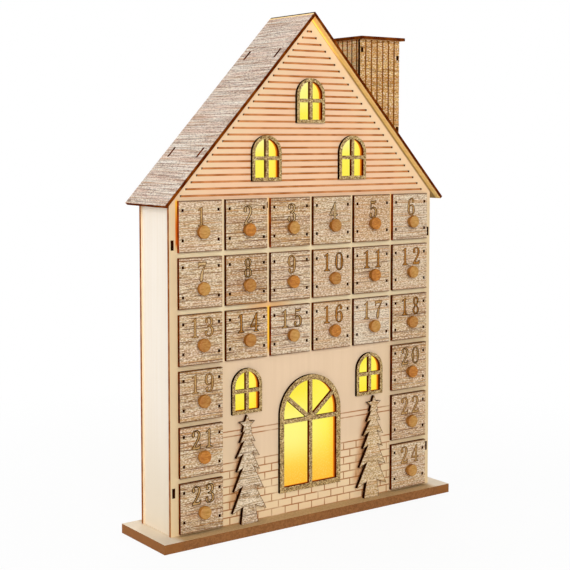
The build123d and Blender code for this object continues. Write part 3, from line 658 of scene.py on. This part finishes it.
wall_ply = wall_wood()
back_ply = basswood("back_ply", rgb(246, 226, 196), rgb(230, 202, 162), back_grain)
board_ply = basswood("board_ply", rgb(242, 220, 188), rgb(224, 194, 150), board_grain)
tray_ply = basswood("tray_ply", rgb(238, 218, 186), rgb(220, 192, 150), depth_grain)
toasted_edge = burnt_edge("toasted_edge", rgb(142, 78, 32), rgb(186, 124, 72))
roof_tab_end = burnt_edge("roof_tab_end", rgb(48, 12, 0), rgb(138, 60, 12))
plate_edge = burnt_edge("plate_edge", rgb(66, 20, 2), rgb(124, 52, 10))
lit_plate_edge = burnt_edge("lit_plate_edge", rgb(110, 34, 4), rgb(196, 84, 16))
roof_edge = burnt_edge("roof_edge", rgb(84, 28, 4), rgb(146, 74, 18))
frame_rim = burnt_edge("frame_rim", rgb(20, 9, 3), rgb(48, 22, 8))
frame_reveal = burnt_edge("frame_reveal", rgb(74, 16, 2), rgb(122, 42, 6))
tab_end = burnt_edge("tab_end", rgb(34, 12, 2), rgb(66, 30, 8))
# Sides of the knobs: painted shade, darker than their turned ends
shaded_knob_side = burnt_edge("shaded_knob_side", rgb(146, 92, 38), rgb(188, 132, 66))
tree_edge = burnt_edge("tree_edge", rgb(26, 7, 2), rgb(56, 24, 10))

# Tones of the prints: pale, middle, dark, ochre and rosy
front_tones = (
    rgb(224, 202, 166), rgb(194, 160, 114), rgb(112, 68, 34), rgb(194, 134, 60), rgb(212, 172, 144),
)
tree_tones = {
    "tree_left": (
        rgb(236, 216, 186), rgb(196, 168, 130), rgb(98, 68, 42), rgb(186, 140, 84), rgb(214, 184, 158),
    ),
    "tree_right": (
        rgb(232, 204, 158), rgb(208, 174, 120), rgb(126, 88, 46), rgb(198, 144, 74), rgb(210, 176, 140),
    ),
}
roof_tones = (
    rgb(255, 246, 234), rgb(194, 162, 144), rgb(102, 68, 52), rgb(206, 160, 120), rgb(244, 204, 186),
)
# Tones of the chimney's side, raised as painted light against the shade that the ridge throws on it
chimney_side_lit_tones = (
    rgb(255, 236, 166), rgb(255, 188, 116), rgb(156, 84, 36), rgb(255, 162, 74), rgb(255, 196, 130),
)
chimney_tones = (
    rgb(230, 184, 108), rgb(196, 140, 68), rgb(94, 54, 16), rgb(198, 126, 44), rgb(208, 152, 86),
)

# Direction of a print: axes along its grain, and axes across it
along_x = ((1, 0, 0), (0, 1, 1))
along_y = ((0, 1, 0), (1, 0, 1))


def in_roof(centre):
    """Whether a point of a gable panel lies in a tab that stands up through the roof."""
    slope_z = apex_z - abs(centre.x) * math.tan(roof_slope)
    return (centre.z - slope_z) * math.cos(roof_slope) > house_ply / 4


def paint_front():
    """Front panel: bare face, toasted grooves and slots, and window openings that catch the light."""
    face = facade()
    groove = siding_groove()
    lit_edge = lit_ply_edge()
    window_boxes = [box_mm(name) for name in window_names]

    def front_rule(centre, normal):
        if in_roof(centre):
            return roof_tab_end
        if abs(normal.y) < facing:
            for low, high in window_boxes:
                if low.x < centre.x < high.x and low.z < centre.z < high.z:
                    return lit_edge
            return toasted_edge
        if normal.y > 0:
            return back_ply
        return groove if centre.y > facade_y + groove_depth / 2 else face

    paint("front_panel", front_rule)


def paint_house():
    """Finishes of the other fixed boards."""
    back_rule = sheet_rule(1, back_ply, toasted_edge)
    paint("back_panel", lambda centre, normal: roof_tab_end if in_roof(centre) else back_rule(centre, normal))
    for wall in ("left_wall", "right_wall"):
        paint(wall, sheet_rule(0, wall_ply, tab_end))
    for board in level_boards:
        paint(board, sheet_rule(2, board_ply, toasted_edge))
    for board in ("cell_dividers", "room_sides"):
        paint(board, sheet_rule(0, board_ply, tab_end))
    # Top of the base: its paler ends beyond the house are painted light, where the house throws no shade
    base_face = fibreboard("base_face", rgb(216, 184, 138), rgb(186, 150, 100), rgb(252, 240, 220))
    base_side = fibreboard("base_side", rgb(164, 110, 62), rgb(122, 76, 38), rgb(146, 92, 44))
    paint("base_board", sheet_rule(2, base_face, base_side))


def paint_roof():
    """Printed roof panels with burnt edges, bare underneath."""
    print_face = washed_print("roof_print", along_y, roof_tones, dark_share=0.6, fibre=roof_fibre)
    underside = roof_underside()
    ridge = ridge_edge()
    for node, side in (("left_roof_panel", -1), ("right_roof_panel", 1)):
        outwards = Vector((side * math.sin(roof_slope), 0, math.cos(roof_slope)))
        upwards = Vector((-side * math.cos(roof_slope), 0, math.sin(roof_slope)))

        def roof_rule(centre, normal, outwards=outwards, upwards=upwards):
            lean = normal.dot(outwards)
            if lean > facing:
                return print_face
            if lean < -facing:
                return underside
            at_ridge = normal.dot(upwards) > facing and centre.z > apex_z
            return ridge if at_ridge else roof_edge

        paint(node, roof_rule)


def paint_chimney():
    """Grooved chimney boards."""
    face = washed_print("chimney_print", along_x, chimney_tones, dark_share=0.6)
    # The side's print is brightened with painted light
    side = washed_print("chimney_side_lit_print", along_y, chimney_side_lit_tones, dark_share=0.6)
    groove = burnt_edge("chimney_groove", rgb(128, 70, 24), rgb(178, 112, 44))
    front_y = box_mm("chimney_front")[0].y
    back_y = box_mm("chimney_back")[1].y
    side_low, side_high = box_mm("chimney_sides")

    def board_rule(axis, low, high, board):
        """Rule for boards whose outer faces lie at two places along an axis."""

        def choose(centre, normal):
            if abs(normal[axis]) < facing:
                return tab_end
            depth = min(centre[axis] - low, high - centre[axis])
            return groove if 0 < depth - groove_depth / 2 < groove_depth else board

        return choose

    paint("chimney_front", board_rule(1, front_y, back_y, face))
    paint("chimney_back", board_rule(1, front_y, back_y, face))
    paint("chimney_sides", board_rule(0, side_low.x, side_high.x, side))
    paint("chimney_cap", sheet_rule(2, face, roof_edge))


def at_outer_rim(centre, low, high):
    """Whether a point of a round-topped frame lies on its outer outline."""
    radius = (high.x - low.x) / 2
    middle_x = (high.x + low.x) / 2
    spring_z = high.z - radius
    reach = abs(centre.x - middle_x)
    if centre.z > spring_z:
        reach = math.hypot(reach, centre.z - spring_z)
    return reach > radius - frame_rim_width or centre.z < low.z + frame_rim_width


def paint_windows():
    """Glitter frames and the lit films behind them."""
    gold = glitter()
    for name in window_names:
        low, high = box_mm(name)

        def frame_rule(centre, normal, low=low, high=high):
            if abs(normal.y) > facing:
                return gold
            return frame_rim if at_outer_rim(centre, low, high) else frame_reveal

        paint(name, frame_rule)
    gable_film = lit_film(
        "gable_light_film", "gable_top_window", "gable_right_window",
        head_colour=rgb(254, 250, 172), foot_colour=rgb(253, 240, 74), side_foot_colour=rgb(253, 238, 76),
    )
    room_film = lit_film(
        "room_light_film", "door_window", "room_right_window",
        head_colour=rgb(250, 230, 52), foot_colour=rgb(252, 188, 50), side_foot_colour=rgb(253, 234, 50),
    )
    paint("gable_light_sheet", lambda centre, normal: gable_film)
    paint("room_light_sheet", lambda centre, normal: room_film)


def paint_trees():
    """Printed trees with charred edges."""
    for name, offset in tree_print_offsets.items():
        face = washed_print(f"{name}_print", along_x, tree_tones[name], offset)
        paint(name, sheet_rule(1, face, tree_edge))


def drawer_finish(number):
    """Print of one drawer front, some fronts more tan, paler or darker than the rest."""
    low, high = box_mm(f"drawer_{number:02d}")
    return washed_print(
        f"front_print_{number:02d}", along_x, front_tones,
        offset=front_print_step * number,
        tan_share=front_tan_shares.get(number, plain_tan_share),
        dark_share=front_dark_shares.get(number, 1.0),
        shade_share=front_shade_shares.get(number, 0.0),
        wash_share=front_wash_shares.get(number, 0.0),
        burnt_z=(low.z, high.z),
    )


def drawer_rule(name):
    """Rule for one drawer: printed front with burnt edges and tab ends, bare tray and turned knob."""
    number = int(name[-2:])
    low, high = box_mm(name)
    middle_x = (low.x + high.x) / 2
    plate_front = low.y + knob_length
    plate_back = plate_front + plate_thickness
    front = drawer_finish(number)
    knob = knob_wood(number, middle_x)
    left_edge = lit_plate_edge if number in light_leaks else plate_edge

    def choose(centre, normal):
        if centre.y < plate_front - face_margin:
            return knob if normal.y < -knob_end_facing else shaded_knob_side
        if centre.y > plate_back - face_margin:
            return tray_ply
        if normal.y > -facing:
            return left_edge if normal.x < -facing else plate_edge
        outer = abs(abs(centre.x - middle_x) - tab_offset) < tab_width / 2
        level = min(abs(centre.z - low.z - rise) for rise in tab_rises)
        return tab_end if outer and level < tab_height / 2 else front

    return choose


def paint_inside():
    """Battery box, switch, cells, contacts, wire and lamps."""
    shell = moulded_plastic("box_plastic", rgb(232, 230, 224), rgb(220, 218, 210), 0.45)
    finishes = {
        "battery_box": shell,
        "battery_cover": shell,
        "power_switch": moulded_plastic("switch_plastic", rgb(42, 42, 44), rgb(26, 26, 28), 0.4),
        "batteries": moulded_plastic("cell_jacket", rgb(60, 92, 84), rgb(44, 72, 66), 0.35),
        "battery_contacts": spring_steel(),
        "led_wire": moulded_plastic("wire_cover", rgb(196, 150, 96), rgb(168, 122, 70), 0.3),
        "led_bulbs": lamp(),
    }
    for name, material in finishes.items():
        paint(name, lambda centre, normal, material=material: material)


# Serif figures on a grid, as high and usually as wide as given here. A point with a third value is a
# sharp corner.
figure_grid = 16.0
figure_width = 8.6
figure_loops = {
    "0": [
        [(4.25, 16), (8.5, 8), (4.25, 0), (0, 8)],
        [(4.25, 15.0), (6.3, 8), (4.25, 1.0), (2.2, 8)],
    ],
    "1": [
        [
            (0.8, 0, 1), (6.9, 0, 1), (6.9, 0.8, 1), (4.9, 1.6, 1), (4.9, 16, 1), (4.2, 16, 1),
            (0.7, 13.7, 1), (1.1, 13.0, 1), (2.8, 13.9, 1), (2.8, 1.6, 1), (0.8, 0.8, 1),
        ],
    ],
    "2": [
        [
            (0.3, 0, 1), (8.2, 0, 1), (8.7, 3.7, 1), (7.9, 3.7, 1), (6.9, 2.3), (3.1, 2.3, 1), (6.6, 7.2),
            (8.3, 11.6), (7.3, 14.8), (4.3, 16), (1.2, 14.7), (0.5, 12.3), (1.1, 10.9), (2.3, 10.9),
            (3.0, 12.0), (2.5, 13.4), (2.9, 14.8), (4.1, 15.2), (5.8, 14.1), (6.2, 11.5), (4.7, 7.6),
            (0.3, 1.1, 1),
        ],
    ],
    "3": [
        [
            (0.6, 12.6), (1.6, 15.2), (4.2, 16), (7.2, 14.9), (8.0, 12.2), (7.2, 9.7), (5.7, 8.5, 1),
            (7.8, 7.2), (8.6, 4.5), (7.6, 1.3), (4.2, 0), (1.2, 1.0), (0.2, 3.4), (0.9, 4.8), (2.1, 4.9),
            (2.7, 3.8), (2.2, 2.6), (2.6, 1.4), (4.1, 0.9), (5.9, 1.9), (6.4, 4.6), (5.6, 7.1), (3.9, 8.0),
            (2.6, 8.0, 1), (2.6, 8.9, 1), (3.9, 9.0), (5.3, 10.0), (5.9, 12.2), (5.4, 14.4), (4.0, 15.2),
            (2.7, 14.7), (2.4, 13.8), (3.0, 12.7), (2.5, 11.5), (1.3, 11.4),
        ],
    ],
    "4": [
        [
            (6.0, 16, 1), (6.9, 16, 1), (6.9, 5.1, 1), (9.0, 5.1, 1), (9.0, 4.0, 1), (6.9, 4.0, 1),
            (6.9, 1.2, 1), (8.6, 0.7, 1), (8.6, 0, 1), (3.4, 0, 1), (3.4, 0.7, 1), (4.9, 1.2, 1),
            (4.9, 4.0, 1), (0, 4.0, 1), (0, 5.0, 1),
        ],
        [(4.9, 5.1, 1), (1.3, 5.1, 1), (4.9, 11.9, 1)],
    ],
    "5": [
        [
            (1.4, 16, 1), (4.4, 15.4), (7.5, 16, 1), (6.6, 14.0), (4.2, 13.4), (2.2, 13.7, 1),
            (2.0, 9.2, 1), (4.5, 10.2), (7.4, 8.9), (8.5, 5.4), (7.4, 1.6), (4.0, 0), (1.1, 0.9),
            (0.2, 3.2), (0.9, 4.7), (2.1, 4.8), (2.7, 3.7), (2.2, 2.5), (2.5, 1.3), (3.9, 0.9),
            (5.7, 1.9), (6.3, 5.2), (5.6, 8.2), (4.2, 9.2), (2.7, 8.7), (1.7, 7.6, 1), (1.2, 7.8, 1),
        ],
    ],
    "6": [
        [
            (7.7, 12.8), (7.0, 15.1), (4.7, 16), (1.6, 13.9), (0.1, 7.6), (1.1, 2.2), (4.3, 0), (7.5, 1.6),
            (8.5, 5.2), (7.5, 8.6), (4.9, 10.0), (3.0, 9.1), (2.2, 7.9, 1), (2.5, 11.6), (3.5, 14.3),
            (4.8, 15.1), (5.9, 14.6), (5.4, 13.6), (5.5, 12.4), (6.3, 11.6), (7.3, 11.9),
        ],
        [(4.3, 9.0), (6.4, 5.2), (4.3, 0.9), (2.2, 5.0)],
    ],
    "7": [
        [
            (0.5, 16, 1), (8.6, 16, 1), (8.6, 15.2, 1), (5.7, 8.6), (4.7, 0.9), (3.8, 0), (2.6, 0.2),
            (2.2, 1.6), (3.4, 7.4), (6.9, 13.6, 1), (2.7, 13.6), (1.6, 13.0), (1.2, 11.6, 1), (0.5, 11.6, 1),
        ],
    ],
    "8": [
        [
            (4.3, 16), (7.3, 14.9), (8.0, 12.2), (6.2, 8.5), (8.5, 4.4), (7.4, 1.2), (4.3, 0), (1.2, 1.2),
            (0, 4.4), (2.4, 8.2), (0.6, 12.2), (1.4, 14.9),
        ],
        [(4.3, 15.1), (6.1, 12.3), (4.6, 9.2), (2.5, 12.2)],
        [(4.1, 7.4), (6.4, 4.2), (4.3, 0.9), (2.1, 4.2)],
    ],
}
figure_loops["9"] = [
    [(figure_width - point[0], figure_grid - point[1], *point[2:]) for point in loop]
    for loop in figure_loops["6"]
]


def figure_curve(name, loops):
    """Closed outlines as a flat curve object, given in metres as X and Z."""
    curve = bpy.data.curves.new(name, "CURVE")
    curve.dimensions = "2D"
    curve.resolution_u = 5
    for loop in loops:
        spline = curve.splines.new("BEZIER")
        spline.bezier_points.add(len(loop) - 1)
        spline.use_cyclic_u = True
        for knot, (x, z, sharp) in zip(spline.bezier_points, loop):
            knot.co = (x, z, 0)
            handle = "VECTOR" if sharp else "AUTO"
            knot.handle_left_type = handle
            knot.handle_right_type = handle
    return curve


def curve_mesh(curve):
    """Mesh of a curve."""
    holder = bpy.data.objects.new(curve.name, curve)
    bpy.context.scene.collection.objects.link(holder)
    bpy.context.view_layer.update()
    evaluated = holder.evaluated_get(bpy.context.evaluated_depsgraph_get())
    mesh = bpy.data.meshes.new_from_object(evaluated)
    bpy.data.objects.remove(holder)
    return mesh


def number_loops(text, left, foot):
    """Outlines of a number's figures, in metres."""
    scale = number_height / figure_grid
    loops = []
    for index, figure in enumerate(text):
        start = left + index * number_pitch
        width_scale = scale * figure_width_shares.get(figure, 1.0)
        for loop in figure_loops[figure]:
            points = []
            for point in loop:
                x = start + (point[0] - figure_width / 2) * width_scale
                z = foot + point[1] * scale
                points.append((x / per_metre, z / per_metre, len(point) > 2))
            loops.append(points)
    return loops


def number_mesh(number, loops, face_y):
    """Filled figures and their raised outline on a drawer's front, with a material slot for each."""
    filled = figure_curve(f"field_{number}", loops)
    filled.fill_mode = "BOTH"
    filled.extrude = number_fill_depth / per_metre
    rim = figure_curve(f"rim_{number}", loops)
    rim.dimensions = "3D"
    rim.bevel_depth = number_line / per_metre
    rim.bevel_resolution = 1
    body = bmesh.new()
    for slot, curve in enumerate((filled, rim)):
        start = len(body.faces)
        body.from_mesh(curve_mesh(curve))
        body.faces.ensure_lookup_table()
        for face in body.faces[start:]:
            face.material_index = slot
    for vertex in body.verts:
        x, z, depth = vertex.co
        vertex.co = (x, face_y - depth, z)
    mesh = bpy.data.meshes.new(f"number_{number:02d}")
    body.to_mesh(mesh)
    body.free()
    return mesh


def burn(number, dark_ones, light_ones):
    """How darkly a number is burnt."""
    if number in dark_ones:
        return "dark"
    return "light" if number in light_ones else "plain"


def add_piece(mesh, body):
    """Object of a mesh that rides on a body."""
    piece = bpy.data.objects.new(mesh.name, mesh)
    bpy.context.scene.collection.objects.link(piece)
    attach(piece, body)


def add_numbers():
    """Engraved numbers on the drawer fronts: a toasted field inside a charred outline."""
    fields = {
        "dark": burnt_ink("dark_field", rgb(192, 136, 70), rgb(156, 100, 42)),
        "plain": burnt_ink("plain_field", rgb(204, 166, 112), rgb(172, 130, 76)),
        "light": burnt_ink("light_field", rgb(224, 194, 146), rgb(200, 164, 112)),
    }
    outlines = {
        "dark": burnt_ink("dark_outline", rgb(62, 30, 8), rgb(28, 12, 0)),
        "plain": burnt_ink("plain_outline", rgb(92, 56, 22), rgb(50, 26, 8)),
        "light": burnt_ink("light_outline", rgb(134, 94, 52), rgb(90, 58, 26)),
    }
    for name in drawer_names:
        number = int(name[-2:])
        text = str(number)
        low, high = box_mm(name)
        left = (low.x + high.x) / 2 + number_offset - (len(text) - 1) * number_pitch / 2
        foot = high.z - single_number_drops.get(number, number_drop) - number_height
        mesh = number_mesh(number, number_loops(text, left, foot), (low.y + knob_length) / per_metre)
        mesh.materials.append(fields[burn(number, dark_fields, light_fields)])
        mesh.materials.append(outlines[burn(number, dark_outlines, light_outlines)])
        add_piece(mesh, name)


def rim_edges(node):
    """Edges around the front face of a CAD node, as pairs of points."""
    mesh = nodes[node].data
    front_y = min(vertex.co.y for vertex in mesh.vertices)
    uses = {}
    for polygon in mesh.polygons:
        corners = [mesh.vertices[index].co.to_tuple(6) for index in polygon.vertices]
        if all((y - front_y) * per_metre < face_margin for _, y, _ in corners):
            for edge in zip(corners, corners[1:] + corners[:1]):
                edge = tuple(sorted(edge))
                uses[edge] = uses.get(edge, 0) + 1
    return sorted(edge for edge, count in uses.items() if count == 1)


def add_tree_rims():
    """Charred line around the printed face of each tree."""
    char = burnt_ink("tree_rim", rgb(136, 98, 60), rgb(84, 52, 26))
    for node in tree_print_offsets:
        curve = bpy.data.curves.new(f"{node}_rim", "CURVE")
        curve.dimensions = "3D"
        curve.bevel_depth = tree_rim_line / per_metre
        curve.bevel_resolution = 1
        for edge in rim_edges(node):
            spline = curve.splines.new("POLY")
            spline.points.add(1)
            for point, place in zip(spline.points, edge):
                point.co = (*place, 1.0)
        mesh = curve_mesh(curve)
        mesh.name = curve.name
        mesh.materials.clear()
        mesh.materials.append(char)
        add_piece(mesh, "house")


# Camera, floor and light, in metres
camera_place = (-0.6460, -0.8799, 0.3294)
camera_yaw = math.radians(35.85)
camera_pitch = math.radians(-3.998)
camera_lens = 78.77
camera_sensor = 36.0
camera_shift = -0.1
lamp_tint = (1.0, 0.99, 0.97)
world_light = 0.3
floor_reach = 4.0
floor_paper = (0.9, 0.9, 0.9, 1)
floor_near_whiteness = 0.93
floor_fade = (0.1, 0.6)


def add_camera():
    """Camera at the photograph's viewpoint."""
    data = bpy.data.cameras.new("camera")
    data.lens = camera_lens
    data.sensor_width = camera_sensor
    data.shift_y = camera_shift
    camera = bpy.data.objects.new("camera", data)
    camera.location = camera_place
    camera.rotation_euler = (math.pi / 2 + camera_pitch, 0, -camera_yaw)
    bpy.context.scene.collection.objects.link(camera)
    bpy.context.scene.camera = camera


def add_area_light(name, place, target, size, power):
    """Soft box that faces a point."""
    data = bpy.data.lights.new(name, "AREA")
    data.size = size
    data.energy = power
    data.color = lamp_tint
    light = bpy.data.objects.new(name, data)
    light.location = place
    light.rotation_euler = (Vector(target) - Vector(place)).to_track_quat("-Z", "Y").to_euler()
    bpy.context.scene.collection.objects.link(light)


def seen_directly(tree):
    """Share of rays that show the background: from the camera, a mirror or glass."""
    path = tree.nodes.new("ShaderNodeLightPath")
    share = path.outputs["Is Camera Ray"]
    for other in ("Is Glossy Ray", "Is Transmission Ray"):
        share = add_node(tree, "ShaderNodeMath", {0: share, 1: path.outputs[other]}, operation="MAXIMUM")
    return share


def add_world():
    """Even light all round, seen as white."""
    world = bpy.data.worlds.new("studio")
    world.use_nodes = True
    tree = world.node_tree
    background = tree.nodes["Background"]
    background.inputs["Color"].default_value = (1, 1, 1, 1)
    levels = {"Value": seen_directly(tree), "To Min": world_light, "To Max": 1.0}
    strength = add_node(tree, "ShaderNodeMapRange", levels)
    tree.links.new(strength, background.inputs["Strength"])
    bpy.context.scene.world = world


def floor_material():
    """Pale paper that shows nearly white around the object and fades out to white."""
    material = bpy.data.materials.new("floor_paper")
    material.use_nodes = True
    tree = material.node_tree
    tree.nodes.clear()
    place = add_node(tree, "ShaderNodeTexCoord", {}, output="Object")
    distance = add_node(tree, "ShaderNodeVectorMath", {0: place}, output="Value", operation="LENGTH")
    near, far = floor_fade
    fade = {"Value": distance, "From Min": near, "From Max": far, "To Min": floor_near_whiteness}
    whiteness = add_node(tree, "ShaderNodeMapRange", fade)
    shares = {0: seen_directly(tree), 1: whiteness}
    share = add_node(tree, "ShaderNodeMath", shares, operation="MULTIPLY")
    paper = add_node(tree, "ShaderNodeBsdfDiffuse", {"Color": floor_paper})
    white = add_node(tree, "ShaderNodeEmission", {})
    blend = add_node(tree, "ShaderNodeMixShader", {0: share, 1: paper, 2: white})
    output = tree.nodes.new("ShaderNodeOutputMaterial")
    tree.links.new(blend, output.inputs["Surface"])
    return material


def add_floor():
    """Level floor under the object."""
    mesh = bpy.data.meshes.new("floor")
    corners = [
        (-floor_reach, -floor_reach, 0), (floor_reach, -floor_reach, 0),
        (floor_reach, floor_reach, 0), (-floor_reach, floor_reach, 0),
    ]
    mesh.from_pydata(corners, [], [(0, 1, 2, 3)])
    mesh.materials.append(floor_material())
    floor = bpy.data.objects.new("floor", mesh)
    bpy.context.scene.collection.objects.link(floor)


paint_front()
paint_house()
paint_roof()
paint_chimney()
paint_windows()
paint_trees()
for drawer_name in drawer_names:
    paint(drawer_name, drawer_rule(drawer_name))
paint_inside()
add_tree_rims()
add_numbers()
add_camera()
add_world()
add_area_light("key", place=(-1.0, -2.7, 1.1), target=(0, 0, 0.22), size=1.4, power=51.0)
add_area_light("side", place=(-2.3, 0.2, 1.0), target=(0, 0, 0.2), size=1.4, power=21.0)
add_area_light("back", place=(1.7, 2.4, 1.5), target=(0, 0, 0.2), size=1.6, power=40.0)
add_floor()
bpy.context.scene.view_settings.view_transform = "Standard"
